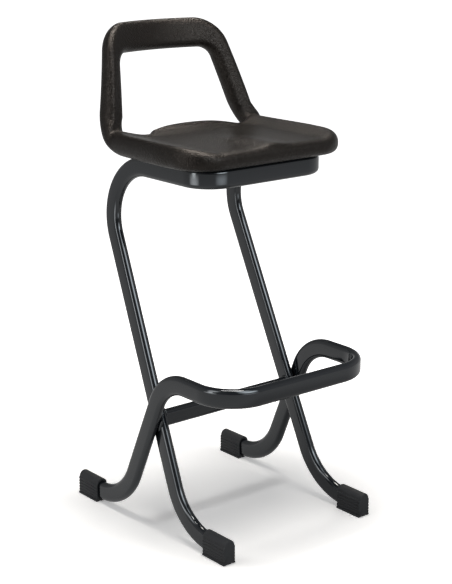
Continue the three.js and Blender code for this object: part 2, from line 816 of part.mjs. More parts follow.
function padSurface() {
  const positions = [];
  const index = [];
  rimPoints.forEach((rim, spoke) => {
    const hole = holePoints[spoke];
    const length = rim.distanceTo(hole);
    const rimRisen = eased((rim.y - seatRun) / bendRun);
    const holeRisen = eased((hole.y - seatRun) / bendRun);
    const rows = spokeRows(
      length,
      { radius: lerp(seatEdge, postEdge, rimRisen), draft: rimDraft * rimRisen },
      { radius: holeEdge, draft: holeDraft * holeRisen },
    );
    for (const [distance, depth] of rows) {
      const spot = rim.clone().lerp(hole, distance / length);
      positions.push(...padPoint(spot.x, spot.y, depth).toArray());
    }
  });
  const spokes = rimPoints.length;
  const rows = positions.length / 3 / spokes;
  for (let i = 0; i < spokes; i += 1) {
    for (let j = 0; j < rows; j += 1) {
      const a = i * rows + j;
      const b = i * rows + ((j + 1) % rows);
      const c = ((i + 1) % spokes) * rows + ((j + 1) % rows);
      const d = ((i + 1) % spokes) * rows + j;
      index.push(a, c, b, a, d, c);
    }
  }
  const geometry = new THREE.BufferGeometry();
  geometry.setAttribute("position", new THREE.Float32BufferAttribute(positions, 3));
  geometry.setIndex(index);
  return geometry;
}

// Insert plate, threaded inserts and hoop rod, each of which can be made larger by a gap
const insertLow = padBottom + skinUnderInsert;
const plateLow = insertLow + insertFlangeThickness + fitGap;
const plateHigh = plateLow + plateThickness;
const plateFrontY = strapPlaces[0][1] - plateFrontReach;
const plateRearY = strapPlaces[1][1] + plateRearReach;
const plateMiddleY = (plateFrontY + plateRearY) / 2;

function plateBlock(grow) {
  const depth = plateRearY - plateFrontY + 2 * grow;
  return solidOf(block(plateHalfWidth + grow, depth, plateLow - grow, plateHigh + grow, plateMiddleY));
}

function insertSolid(shape, x, y, grow) {
  const flangeHigh = insertLow + insertFlangeThickness + grow;
  const flange = shape(insertFlangeDiameter + 2 * grow, insertLow - grow, flangeHigh, x, y);
  const barrelHigh = insertLow + insertBarrelLength + grow;
  const barrel = shape(insertBarrelDiameter + 2 * grow, insertLow - grow, barrelHigh, x, y);
  return solidOf(flange).add(solidOf(barrel));
}

// The rod lies on the plate, swings out to the posts and runs up inside the ring and across the rail.
const rodRestZ = plateHigh + 2 * fitGap + rodDiameter / 2;
const rodRestEnd = plateRearY - 2 * rodDiameter;
const railMiddleS = sheetLength - railHeight / 2;
const middleDepth = 1 / 2;

function postMiddle(s) {
  const share = (s - holeS) / (holeTopS - holeS);
  return postHalf(s) - lerp(postWidthLow, postWidthHigh, share) / 2;
}

function rodInPost(s) {
  return padPoint(postMiddle(s), s, middleDepth);
}
const rodRestStart = strapPlaces[0][1];
const rodRestMiddle = (rodRestStart + rodRestEnd) / 2;
const rodRestPlaces = [rodRestStart, rodRestMiddle, rodRestEnd - rodDiameter, rodRestEnd];
const rodRightSide = [
  ...rodRestPlaces.map((y) => new THREE.Vector3(rodHalfSpacing, y, rodRestZ)),
  ...rodBendShares.map((share) => rodInPost(seatRun + share * bendRun)),
  ...rodPostShares.map((share) => rodInPost(lerp(seatRun + bendRun, holeTopS, share))),
  padPoint(postMiddle(holeTopS) * rodCornerShare, lerp(holeTopS, railMiddleS, rodCornerShare), middleDepth),
];
const rodLeftSide = rodRightSide.map(mirrored).reverse();
const rodPoints = [...rodRightSide, padPoint(0, railMiddleS, middleDepth), ...rodLeftSide];
const rodCurve = new THREE.CatmullRomCurve3(rodPoints, false, "centripetal");

function rodSweep(radius, facets) {
  const ring = [];
  for (let i = 0; i < facets; i += 1) {
    const angle = (2 * Math.PI * i) / facets;
    ring.push(new THREE.Vector2(radius * Math.cos(angle), radius * Math.sin(angle)));
  }
  return new THREE.ExtrudeGeometry(new THREE.Shape(ring), {
    steps: rodStationCount,
    extrudePath: rodCurve,
  });
}
piece("back_hoop_rod", rodSweep(rodDiameter / 2, rodFacets), plainSteel);
const rodRoomRadius = (rodDiameter / 2 + 2 * fitGap) / Math.cos(Math.PI / roomFacets);
const rodRoom = solidOf(rodSweep(rodRoomRadius, roomFacets));

const insertRooms = screwPlaces.map(([, x, y]) => insertSolid(discRoom, x, y, fitGap));
piece("seat_insert_plate", geometryOf(cut(plateBlock(0), insertRooms)), plainSteel);

// The moulding with its bosses, hollow where the hard parts lie and open at the four screws
const bosses = screwPlaces.map(([, x, y]) =>
  solidOf(disc(bossDiameter, strapTop + fitGap, padBottom + overrun, x, y)),
);
const screwRooms = screwPlaces.map(([, x, y]) =>
  solidOf(discRoom(screwHole, strapTop - overrun, insertLow + overrun, x, y)),
);
const padSolid = bosses.reduce((pad, boss) => pad.add(boss), solidOf(padSurface()));
const padRooms = [plateBlock(fitGap), rodRoom, ...insertRooms, ...screwRooms];
piece("seat_pad", geometryOf(cut(padSolid, padRooms)), foamSkin);

// Threaded inserts, screws and washers at the four corners
const washerHigh = strapBottom - fitGap;
const washerLow = washerHigh - washerThickness;
const headHigh = washerLow - fitGap;
for (const [place, x, y] of screwPlaces) {
  const bore = solidOf(disc(screwHole, insertLow - overrun, insertLow + insertBarrelLength + overrun, x, y));
  piece(`threaded_insert_${place}`, geometryOf(insertSolid(disc, x, y, 0).subtract(bore)), zincPlate);
  const shank = solidOf(disc(screwDiameter, headHigh - overrun, headHigh + screwLength, x, y));
  const headRadius = screwHeadAcross / Math.sqrt(3);
  const head = new THREE.CylinderGeometry(headRadius, headRadius, screwHeadHeight, screwHeadSides);
  head.rotateX(Math.PI / 2);
  head.translate(x, y, headHigh - screwHeadHeight / 2);
  piece(`seat_screw_${place}`, geometryOf(solidOf(head).add(shank)), zincPlate);
  const washer = solidOf(disc(washerDiameter, washerLow, washerHigh, x, y));
  const hole = solidOf(disc(screwHole, washerLow - overrun, washerHigh + overrun, x, y));
  piece(`seat_washer_${place}`, geometryOf(washer.subtract(hole)), zincPlate);
}

// The origin is the middle of the whole stool's footprint, on the floor.
const extent = new THREE.Box3().setFromObject(stool);
const middle = extent.getCenter(new THREE.Vector3());
stool.position.set(-middle.x, -middle.y, -extent.min.z);

const part = new THREE.Group();
part.add(stool);

export default part;
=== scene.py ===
import math

import bpy
import numpy as np
from mathutils import Matrix, Vector


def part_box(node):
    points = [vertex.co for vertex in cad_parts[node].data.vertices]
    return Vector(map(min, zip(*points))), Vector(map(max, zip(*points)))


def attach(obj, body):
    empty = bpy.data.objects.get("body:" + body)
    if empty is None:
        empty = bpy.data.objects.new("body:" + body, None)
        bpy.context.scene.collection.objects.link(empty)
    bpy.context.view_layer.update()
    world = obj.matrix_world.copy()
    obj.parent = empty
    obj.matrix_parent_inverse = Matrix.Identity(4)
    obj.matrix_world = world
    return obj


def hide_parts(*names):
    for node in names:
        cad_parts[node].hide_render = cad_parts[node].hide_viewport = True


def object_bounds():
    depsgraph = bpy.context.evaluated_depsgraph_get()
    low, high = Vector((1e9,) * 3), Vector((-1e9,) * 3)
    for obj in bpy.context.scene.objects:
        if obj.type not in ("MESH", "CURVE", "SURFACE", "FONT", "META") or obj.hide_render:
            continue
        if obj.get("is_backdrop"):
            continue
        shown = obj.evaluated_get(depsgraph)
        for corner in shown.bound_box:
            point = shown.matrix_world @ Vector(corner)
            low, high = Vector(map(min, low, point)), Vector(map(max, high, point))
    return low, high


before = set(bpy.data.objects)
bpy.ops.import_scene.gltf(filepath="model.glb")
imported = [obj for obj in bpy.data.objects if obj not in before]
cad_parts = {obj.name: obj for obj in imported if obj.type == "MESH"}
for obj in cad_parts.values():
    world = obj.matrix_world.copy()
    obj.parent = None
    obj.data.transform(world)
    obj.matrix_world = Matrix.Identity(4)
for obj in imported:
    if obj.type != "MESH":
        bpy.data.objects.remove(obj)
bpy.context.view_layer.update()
scene = bpy.context.scene
scene.view_settings.view_transform = "Standard"

# Camera: 2.9 m from the stool, ahead of its left front foot and a little above the seat's height. The
# distance, the lens and the aim are the ones that give the photograph's perspective and framing.
camera_turn = math.radians(-39.073)
camera_rise = math.radians(15.499)
camera_distance = 2.9568
camera_lens_mm = 91.78
aim_behind_front_feet = 0.16413
aim_left = 0.04263
aim_height = 0.47584
to_camera = Vector((
    math.sin(camera_turn) * math.cos(camera_rise),
    -math.cos(camera_turn) * math.cos(camera_rise),
    math.sin(camera_rise),
))
camera_right = Vector((math.cos(camera_turn), math.sin(camera_turn), 0))
camera_up = to_camera.cross(camera_right)
front_feet_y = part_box("foot_front_left")[0].y
aim = Vector((0, front_feet_y + aim_behind_front_feet, aim_height)) - aim_left * camera_right
camera_data = bpy.data.cameras.new("camera")
camera_data.lens = camera_lens_mm
camera = bpy.data.objects.new("camera", camera_data)
scene.collection.objects.link(camera)
turned = Matrix((camera_right, camera_up, to_camera)).transposed().to_4x4()
camera.matrix_world = Matrix.Translation(aim + camera_distance * to_camera) @ turned
scene.camera = camera

# Studio floor: matt white, without an end in sight. Seen directly it glows more with the distance, so that it
# stays white past the lamps' reach. In reflections it glows only away from a dim spot ahead of the stool.
floor_half = 30.0
floor_seen = (1.45, 1.45, 1.45, 1)
floor_unseen = (0.45, 0.45, 0.45, 1)
seen_centre, seen_reaches, seen_glows = (0, 0, 0), (0.2, 1.05), (0.04, 0.9)
mirrored_centre, mirrored_reaches, mirrored_glows = (0.3, -0.5, 0), (0.3, 0.85), (0.08, 0.38)
floor_data = bpy.data.meshes.new("studio_floor")
corners = [(-floor_half, -floor_half, 0), (floor_half, -floor_half, 0), (floor_half, floor_half, 0),
           (-floor_half, floor_half, 0)]
floor_data.from_pydata(corners, [], [(0, 1, 2, 3)])
studio_floor = bpy.data.objects.new("studio_floor", floor_data)
scene.collection.objects.link(studio_floor)
studio_floor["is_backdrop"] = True


def new_material(name):
    """A material with an empty node tree but for its output and its Principled shader."""
    material = bpy.data.materials.new(name)
    material.use_nodes = True
    nodes = material.node_tree.nodes
    return material, nodes, material.node_tree.links, nodes["Principled BSDF"]


def math_node(nodes, links, operation, *inputs):
    """A Math node on sockets or plain values, and its output."""
    node = nodes.new("ShaderNodeMath")
    node.operation = operation
    for socket, value in zip(node.inputs, inputs):
        if isinstance(value, bpy.types.NodeSocket):
            links.new(value, socket)
        else:
            socket.default_value = value
    return node.outputs[0]


floor_finish, nodes, links, shader = new_material("white_floor")
shader.inputs["Roughness"].default_value = 1
shader.inputs["Specular IOR Level"].default_value = 0
shader.inputs["Emission Color"].default_value = (1, 1, 1, 1)


def seen_and_mirrored(nodes, links):
    """Two masks from Light Path: what the camera sees, directly or through glass, and what gloss mirrors."""
    path = nodes.new("ShaderNodeLightPath")
    direct, through_glass = path.outputs["Is Camera Ray"], path.outputs["Is Transmission Ray"]
    return math_node(nodes, links, "MAXIMUM", direct, through_glass), path.outputs["Is Glossy Ray"]


def eased_range(nodes, links, value, start, end, start_result, end_result):
    """Goes from one result to another while the value goes from its start to its end, with level ends."""
    ramp = nodes.new("ShaderNodeMapRange")
    ramp.interpolation_type = "SMOOTHSTEP"
    for socket, number in zip(ramp.inputs[1:5], (start, end, start_result, end_result)):
        socket.default_value = number
    links.new(value, ramp.inputs["Value"])
    return ramp.outputs["Result"]


def vector_node(nodes, links, operation, vector, constant):
    """A Vector Math node on a socket and a constant vector, and its number."""
    node = nodes.new("ShaderNodeVectorMath")
    node.operation = operation
    links.new(vector, node.inputs[0])
    node.inputs[1].default_value = constant
    return node.outputs["Value"]


seen, mirrored = seen_and_mirrored(nodes, links)
floor_colour = nodes.new("ShaderNodeMix")
floor_colour.data_type = "RGBA"
links.new(seen, floor_colour.inputs["Factor"])
floor_colour.inputs[6].default_value = floor_unseen
floor_colour.inputs[7].default_value = floor_seen
links.new(floor_colour.outputs[2], shader.inputs["Base Color"])
place = nodes.new("ShaderNodeTexCoord").outputs["Object"]
glows = []
for mask, centre, reaches, strengths in (
    (seen, seen_centre, seen_reaches, seen_glows),
    (mirrored, mirrored_centre, mirrored_reaches, mirrored_glows),
):
    distance = vector_node(nodes, links, "DISTANCE", place, centre)
    glow = eased_range(nodes, links, distance, *reaches, *strengths)
    glows.append(math_node(nodes, links, "MULTIPLY", mask, glow))
links.new(math_node(nodes, links, "MAXIMUM", *glows), shader.inputs["Emission Strength"])
floor_data.materials.append(floor_finish)

# Room: dim, and brighter with the square of the nearness to one line across it. Gloss also mirrors a bright
# backdrop low down behind on the right. The camera sees it all white.
world = bpy.data.worlds.new("studio")
scene.world = world
world.use_nodes = True
nodes, links = world.node_tree.nodes, world.node_tree.links
room_dim, room_bright, room_turn = 0.14, 0.36, math.radians(55)
backdrop_top, backdrop_glow, backdrop_turn = 0.34, 0.65, math.radians(130)
way = nodes.new("ShaderNodeTexCoord").outputs["Generated"]
room_way = (math.sin(room_turn), -math.cos(room_turn), 0)
backdrop_way = (math.sin(backdrop_turn), -math.cos(backdrop_turn), 0)
nearness = vector_node(nodes, links, "DOT_PRODUCT", way, room_way)
square = math_node(nodes, links, "MULTIPLY", nearness, nearness)
room = math_node(nodes, links, "MULTIPLY_ADD", square, room_bright, room_dim)
parts = nodes.new("ShaderNodeSeparateXYZ")
links.new(way, parts.inputs[0])
backdrop = eased_range(nodes, links, parts.outputs["Z"], backdrop_top, 0, 0, backdrop_glow)
towards = vector_node(nodes, links, "DOT_PRODUCT", way, backdrop_way)
backdrop = math_node(nodes, links, "MULTIPLY", backdrop, towards)
seen, mirrored = seen_and_mirrored(nodes, links)
room = math_node(nodes, links, "MAXIMUM", room, math_node(nodes, links, "MULTIPLY", backdrop, mirrored))
links.new(math_node(nodes, links, "MAXIMUM", seen, room), nodes["Background"].inputs["Strength"])
nodes["Background"].inputs["Color"].default_value = (1, 1, 1, 1)

# Lamps: a strip overhead that throws the seat's shadow between the legs, softboxes in front and on the left
# that gloss mirrors as bright bars, low panels under them, and one high behind. Each is (name, turn, rise,
# reach, width, height, radiance, colour). Of these, only the strip lights the floor.
stool_middle = Vector((0, 0, 0.45))
feather_peak = 1.85
cool, pale, warm, amber = (0.88, 0.95, 1), (0.97, 0.99, 1), (1, 0.97, 0.93), (1, 0.94, 0.87)


def soft_light(name, turn, rise, reach, width, height, radiance, colour):
    """An area lamp that the camera itself doesn't see. It stands at a distance from the stool's middle, in a
    direction turned from the front towards the right and raised from the level. Its power is its radiance
    times its area times pi."""
    data = bpy.data.lights.new(name, "AREA")
    data.shape = "RECTANGLE"
    data.size, data.size_y = width, height
    data.energy = radiance * width * height * math.pi
    data.color = colour
    lamp = bpy.data.objects.new(name, data)
    scene.collection.objects.link(lamp)
    turn, rise = math.radians(turn), math.radians(rise)
    way = Vector((math.sin(turn) * math.cos(rise), -math.cos(turn) * math.cos(rise), math.sin(rise)))
    lamp.location = stool_middle + reach * way
    lamp.rotation_mode = "QUATERNION"
    lamp.rotation_quaternion = (-way).to_track_quat("-Z", "Y")
    lamp.visible_camera = False
    return lamp


def feather(lamp):
    """Makes a lamp brightest in its middle and dark at its edges: its strength is the peak times a parabola
    across its width and one across its height, each of them 1 in the middle."""
    lamp.data.use_nodes = True
    nodes, links = lamp.data.node_tree.nodes, lamp.data.node_tree.links
    spot = nodes.new("ShaderNodeNewGeometry")
    sides = nodes.new("ShaderNodeSeparateXYZ")
    links.new(spot.outputs["Parametric"], sides.inputs[0])
    bells = []
    for axis in ("X", "Y"):
        rest = math_node(nodes, links, "SUBTRACT", 1.0, sides.outputs[axis])
        bells.append(math_node(nodes, links, "MULTIPLY", rest, sides.outputs[axis]))
    both = math_node(nodes, links, "MULTIPLY", *bells)
    strength = math_node(nodes, links, "MULTIPLY", both, feather_peak * 4 * 4)
    links.new(strength, nodes["Emission"].inputs["Strength"])


soft_light("overhead_strip", -50, 88.2, 2.05, 1.0, 0.45, 24, warm)
off_floor = bpy.data.collections.new("off_floor")
off_floor.objects.link(studio_floor)
off_floor.collection_objects[0].light_linking.link_state = "EXCLUDE"
for lamp in (
    soft_light("front_softbox", 0, 37, 2.5, 2.1, 1.5, 3.6, cool),
    soft_light("left_softbox", -89, 37, 1.9, 0.85, 1.3, 2.6, pale),
    soft_light("front_low_panel", 0, -5, 2.3, 1.8, 0.6, 1.3, cool),
    soft_light("left_low_panel", -89, -5, 1.8, 1.1, 0.6, 2.1, pale),
    soft_light("rear_top", 141, 62, 2.6, 0.8, 0.5, 20, amber),
):
    lamp.light_linking.receiver_collection = off_floor
    feather(lamp)

# Leg loop: one steel tube with flat sides, 39 x 19 x 2 mm, bent cold on a mandrel from the left front foot
# up to the seat frame, round its front and down to the right front foot. Anthracite powder coat.
tube_broad = 0.039
tube_thin = 0.019
foot_base = 0.0047
fit_gap = 0.0003
tube_axis_height = foot_base + fit_gap + tube_broad / 2
seat_frame_top = 0.746
leg_half_span = 0.1785
leg_splay = math.radians(2.16)
leg_lean = math.radians(24.2)
leg_foot_run = 0.050
leg_foot_bend = 0.1295
leg_seat_bend = 0.1075
seat_rail_run = 0.128
seat_corner_bend = 0.0555
foot_end_wall = 0.007
tube_tip_y = front_feet_y + foot_end_wall
bend_step = math.radians(1.5)
round_steps = 16


def bent_line(bends):
    """Places (u, v) and heading along a line bent in one plane from (0, 0) along +u. Each bend is (run, turn,
    radius): a straight run, then an arc in which the heading grows evenly, with the place worked out as the
    arc's centre plus the radius square to the heading."""
    places = [np.zeros((1, 3))]
    for run, turn, radius in bends:
        u, v, heading = places[-1][-1]
        u, v = u + run * math.cos(heading), v + run * math.sin(heading)
        places.append(np.array([[u, v, heading]]))
        if turn:
            side = math.copysign(1, turn)
            ways = heading + turn * np.linspace(0, 1, math.ceil(abs(turn) / bend_step) + 1)[1:]
            us = u + side * radius * (np.sin(ways) - math.sin(heading))
            vs = v - side * radius * (np.cos(ways) - math.cos(heading))
            places.append(np.stack([us, vs, ways], 1))
    return np.concatenate(places)


def tube_loop(line, half_span, splay, tip_y, way, corner):
    """Points, directions and broad-side normals along a whole loop. Its left half lies in a plane that leans
    inwards by the splay, then turns level through its front corner; the right half is its mirror image."""
    u, v, heading = line.T
    points = np.stack([-(half_span - v * math.sin(splay)), tip_y + way * u,
                       tube_axis_height + v * math.cos(splay)], 1)
    along = np.stack([np.sin(heading) * math.sin(splay), way * np.cos(heading),
                      np.sin(heading) * math.cos(splay)], 1)
    across = np.tile([math.cos(splay), 0, -math.sin(splay)], (len(u), 1))
    across[-1] = (1, 0, 0)
    cu, cv, turned = bent_line([(0, math.pi / 2, corner)])[2:].T
    points = np.concatenate([points, points[-1] + np.stack([cv, -cu, 0 * cu], 1)])
    along = np.concatenate([along, np.stack([np.sin(turned), -np.cos(turned), 0 * turned], 1)])
    across = np.concatenate([across, np.stack([np.cos(turned), np.sin(turned), 0 * turned], 1)])
    mirror = np.array([-1, 1, 1])
    points = np.concatenate([points, points[::-1] * mirror])
    along = np.concatenate([along, -along[::-1] * mirror])
    across = np.concatenate([across, across[::-1] * mirror])
    return points, along, across


def flat_oval(broad, thin, steps):
    """Outline of a flat-sided oval, its long way along the second axis: two half circles of half the thin
    side, moved apart until they span the broad side."""
    turn = np.linspace(0, math.pi, steps + 1)
    top = np.stack([thin / 2 * np.cos(turn), (broad - thin) / 2 + thin / 2 * np.sin(turn)], 1)
    return np.concatenate([top, -top])


def carried(outline, points, along, across):
    """Grid of points: at each place of a path the outline is laid square to it, its first axis along
    across and its second along the cross product of the path's direction and across."""
    upright = np.cross(along, across)
    out = outline[None, :, :1] * across[:, None]
    up = outline[None, :, 1:] * upright[:, None]
    return points[:, None] + out + up


def grid_piece(name, grid, wrap_rows=False, caps=True, sharp_degrees=40):
    """Mesh object from a grid (rows, columns, 3), closed along its columns: quads between neighbours, one
    flat cap at each end unless the rows close too. The enclosed volume, as the sum of each face's centre
    times its area vector, tells whether the faces point outwards, and they are turned if not."""
    rows, columns = grid.shape[:2]
    number = np.arange(rows * columns).reshape(rows, columns)
    upper = np.roll(number, -1, 0) if wrap_rows else number[1:]
    lower = number if wrap_rows else number[:-1]
    quads = np.stack([lower, np.roll(lower, -1, 1), np.roll(upper, -1, 1), upper], -1).reshape(-1, 4)
    flat = grid.reshape(-1, 3)
    a, b, c, d = (flat[quads[:, i]] for i in range(4))
    volume = ((a + b + c + d) * np.cross(c - a, d - b)).sum()
    faces = [tuple(q) for q in quads.tolist()]
    if caps and not wrap_rows:
        faces += [tuple(number[0, ::-1].tolist()), tuple(number[-1].tolist())]
    if volume < 0:
        faces = [face[::-1] for face in faces]
    data = bpy.data.meshes.new(name)
    data.from_pydata(flat.tolist(), [], faces)
    data.shade_smooth()
    data.set_sharp_from_angle(angle=math.radians(sharp_degrees))
    piece = bpy.data.objects.new(name, data)
    scene.collection.objects.link(piece)
    return piece


leg_rise = math.pi / 2 - leg_lean
leg_full_rise = (seat_frame_top - tube_broad / 2 - tube_axis_height) / math.cos(leg_splay)
leg_bends_rise = leg_foot_bend * (1 - math.cos(leg_rise)) + leg_seat_bend * (1 + math.cos(leg_rise))
leg_run = (leg_full_rise - leg_bends_rise) / math.sin(leg_rise)
leg_line = bent_line([
    (leg_foot_run, leg_rise, leg_foot_bend),
    (leg_run, math.pi - leg_rise, leg_seat_bend),
    (seat_rail_run, 0, 0),
])
leg_path = tube_loop(leg_line, leg_half_span, leg_splay, tube_tip_y, 1, seat_corner_bend)
tube_outline = flat_oval(tube_broad, tube_thin, round_steps)
leg_loop = grid_piece("leg_tube", carried(tube_outline, *leg_path))


def fine_relief_group():
    """Node group for small unevenness: two sizes of soft noise make a height, and a wide one a drift from
    -1 to 1 that moves the roughness a little over the surface."""
    group = bpy.data.node_groups.new("fine_relief", "ShaderNodeTree")
    usual = (("Coarse Scale", 60.0), ("Fine Scale", 700.0), ("Fine Share", 0.35), ("Drift Scale", 9.0))
    for name, value in usual:
        socket = group.interface.new_socket(name, in_out="INPUT", socket_type="NodeSocketFloat")
        socket.default_value = value
    group.interface.new_socket("Height", in_out="OUTPUT", socket_type="NodeSocketFloat")
    group.interface.new_socket("Drift", in_out="OUTPUT", socket_type="NodeSocketFloat")
    given = group.nodes.new("NodeGroupInput")
    result = group.nodes.new("NodeGroupOutput")
    place = group.nodes.new("ShaderNodeTexCoord")
    noises = []
    for scale_name, detail in (("Coarse Scale", 2), ("Fine Scale", 3), ("Drift Scale", 4)):
        noise = group.nodes.new("ShaderNodeTexNoise")
        noise.inputs["Detail"].default_value = detail
        group.links.new(place.outputs["Object"], noise.inputs["Vector"])
        group.links.new(given.outputs[scale_name], noise.inputs["Scale"])
        noises.append(noise)
    both = group.nodes.new("ShaderNodeMix")
    group.links.new(given.outputs["Fine Share"], both.inputs["Factor"])
    group.links.new(noises[0].outputs["Fac"], both.inputs[2])
    group.links.new(noises[1].outputs["Fac"], both.inputs[3])
    group.links.new(both.outputs[0], result.inputs["Height"])
    drift = group.nodes.new("ShaderNodeMapRange")
    for socket, value in zip(drift.inputs[1:5], (0.3, 0.7, -1, 1)):
        socket.default_value = value
    group.links.new(noises[2].outputs["Fac"], drift.inputs["Value"])
    group.links.new(drift.outputs["Result"], result.inputs["Drift"])
    return group


fine_relief = fine_relief_group()


def uneven_finish(material, depth, roughness, drift_share, values):
    """Puts the relief group into a material: its height goes to a Bump node of the given depth in metres,
    and its drift moves the roughness by a share."""
    nodes, links = material.node_tree.nodes, material.node_tree.links
    shader = nodes["Principled BSDF"]
    relief = nodes.new("ShaderNodeGroup")
    relief.node_tree = fine_relief
    for socket, value in values.items():
        relief.inputs[socket].default_value = value
    bump = nodes.new("ShaderNodeBump")
    bump.inputs["Distance"].default_value = depth
    links.new(relief.outputs["Height"], bump.inputs["Height"])
    links.new(bump.outputs["Normal"], shader.inputs["Normal"])
    swing = roughness * drift_share
    rough = math_node(nodes, links, "MULTIPLY_ADD", relief.outputs["Drift"], swing, roughness)
    links.new(rough, shader.inputs["Roughness"])


coat_colour = (0.0040, 0.0050, 0.0064, 1)
coat_tint = (0.94, 0.97, 1, 1)
coat_depth, coat_roughness, coat_drift = 0.00002, 0.1, 0.12
coat_relief = {"Coarse Scale": 110, "Fine Scale": 900, "Fine Share": 0.25}
powder_coat, _, _, shader = new_material("powder_coat")
shader.inputs["Base Color"].default_value = coat_colour
shader.inputs["IOR"].default_value = 1.6
shader.inputs["Specular Tint"].default_value = coat_tint
uneven_finish(powder_coat, coat_depth, coat_roughness, coat_drift, coat_relief)
leg_loop.data.materials.append(powder_coat)
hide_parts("leg_loop")
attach(leg_loop, "root")

# Footrest loop: the same tube, bent from the left rear foot up over the crossing and forward to the
# footrest, and mirrored back to the right rear foot. Its rear legs stand outside the front legs.
footrest_top = 0.347
tube_tip_span = 0.461
rear_splay = math.radians(0.94)
rear_lean = math.radians(24)
rear_foot_run = 0.062
rear_foot_bend = 0.1265
rear_arch_bend = 0.096
footrest_rail_run = 0.0485
footrest_corner_bend = 0.081
rear_rise = math.pi / 2 - rear_lean
rear_full_rise = (footrest_top - tube_broad / 2 - tube_axis_height) / math.cos(rear_splay)
rear_bends_rise = (rear_foot_bend + rear_arch_bend) * (1 - math.cos(rear_rise))
rear_run = (rear_full_rise - rear_bends_rise) / math.sin(rear_rise)
rear_line = bent_line([
    (rear_foot_run, rear_rise, rear_foot_bend),
    (rear_run, -rear_rise, rear_arch_bend),
    (footrest_rail_run, 0, 0),
])
rear_foot_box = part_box("foot_rear_right")
rear_half_span = (rear_foot_box[0].x + rear_foot_box[1].x) / 2
rear_tip_y = tube_tip_y + tube_tip_span
rear_path = tube_loop(rear_line, rear_half_span, rear_splay, rear_tip_y, -1, footrest_corner_bend)
footrest_loop = grid_piece("footrest_tube", carried(tube_outline, *rear_path))
footrest_loop.data.materials.append(powder_coat)
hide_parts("footrest_loop")
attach(footrest_loop, "root")

# Crossbar: a straight tube of the same kind, 35.5 x 18 mm, cut to fit between the front legs and welded in
# at the crossing.
crossbar_broad = 0.0355
crossbar_thin = 0.018
crossbar_low, crossbar_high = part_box("crossbar")
crossing_y = (crossbar_low.y + crossbar_high.y) / 2
crossing_z = (crossbar_low.z + crossbar_high.z) / 2
crossbar_half = crossbar_high.x
crossbar_ends = np.array([[-crossbar_half, crossing_y, crossing_z], [crossbar_half, crossing_y, crossing_z]])
bar_along = np.tile([1.0, 0, 0], (2, 1))
bar_across = np.tile([0, 1.0, 0], (2, 1))
crossbar_outline = flat_oval(crossbar_broad, crossbar_thin, round_steps)
crossbar = grid_piece("cross_tube", carried(crossbar_outline, crossbar_ends, bar_along, bar_across))
crossbar.data.materials.append(powder_coat)
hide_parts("crossbar")
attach(crossbar, "root")

# Lights for the tubes: three more soft lamps that only the tubes receive, so that a bright line runs on along
# each rounding where the tubes bend out of the softboxes' reflection.
tubes = bpy.data.collections.new("tubes")
for piece in (leg_loop, footrest_loop, crossbar):
    tubes.objects.link(piece)
for lamp in (
    soft_light("left_tube_light", -89, 10, 1.9, 0.5, 0.8, 4.2, pale),
    soft_light("high_tube_light", 0, 62, 2.4, 1.2, 1.0, 3.6, cool),
    soft_light("front_tube_light", 2, 22, 2.4, 1.6, 0.9, 3.0, cool),
):
    lamp.light_linking.receiver_collection = tubes
    feather(lamp)

# Light for the floor: it comes from nearly overhead, and of the whole stool only the crossbar shades it, so
# the crossbar's soft shadow lies between the legs.
shaded_by = bpy.data.collections.new("shaded_by_crossbar")
shaded_by.objects.link(crossbar)
floor_only = bpy.data.collections.new("floor_only")
floor_only.objects.link(studio_floor)
floor_light = soft_light("floor_light", 0, 83, 2.1, 0.4, 0.4, 20, (1, 1, 1))
floor_light.light_linking.blocker_collection = shaded_by
floor_light.light_linking.receiver_collection = floor_only

# Crossing welds: a hand-laid bead along each edge of the rear leg where it lies on the front leg, with the
# ripples of the weld pool, under the same powder coat.
bead_radius = 0.0044
bead_ripple = 0.0005
bead_pitch = 0.0042
bead_tip = 0.02
bead_sides = 24
bead_line_points = 41
bead_slant = (0.31, 0.17, 0.93)


def weld_bead(name, points, radius, closed):
    """A bead along a line of points: round sections whose radius swells and falls with each ripple, and
    shrinks to nothing at the ends of an open bead as the root of a sine. The slant is a direction that no
    bead runs along, and each section's first axis is square to it."""
    steps = np.linalg.norm(np.diff(points, axis=0), axis=1)
    length = np.concatenate([[0], np.cumsum(steps)])
    along = np.gradient(points, axis=0)
    along /= np.linalg.norm(along, axis=1, keepdims=True)
    if closed:
        along[0] = along[-1] = (along[0] + along[-1]) / np.linalg.norm(along[0] + along[-1])
    ripple = bead_ripple * np.abs(np.sin(math.pi * length / bead_pitch))
    ends = 1 if closed else np.sqrt(np.clip(np.sin(math.pi * length / length[-1]), bead_tip, 1))
    across = np.cross(along, bead_slant)
    across /= np.linalg.norm(across, axis=1, keepdims=True)
    turn = np.linspace(0, 2 * math.pi, bead_sides, endpoint=False)
    size = ((radius - bead_ripple + ripple) * ends)[:, None, None]
    upright = np.cross(along, across)
    ring = np.cos(turn)[:, None] * across[:, None] + np.sin(turn)[:, None] * upright[:, None]
    grid = points[:, None] + size * ring
    if closed:
        grid = grid[:-1]
    piece = grid_piece(name, grid, wrap_rows=closed)
    piece.data.materials.append(powder_coat)
    return piece


for side_name, side in (("left", -1), ("right", 1)):
    for place_name, place in (("front", -1), ("rear", 1)):
        node = f"weld_crossing_{side_name}_{place_name}"
        low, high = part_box(node)
        middle = (np.array(low) + np.array(high)) / 2
        rise = np.array([0, -math.sin(rear_lean), math.cos(rear_lean)])
        reach = (high.z - low.z) / 2
        line = middle + np.linspace(-reach, reach, bead_line_points)[:, None] * rise
        line[:, 0] = side * min(abs(low.x), abs(high.x)) + side * bead_radius / 2
        bead = weld_bead(f"bead_crossing_{side_name}_{place_name}", line, bead_radius, False)
        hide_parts(node)
        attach(bead, "root")

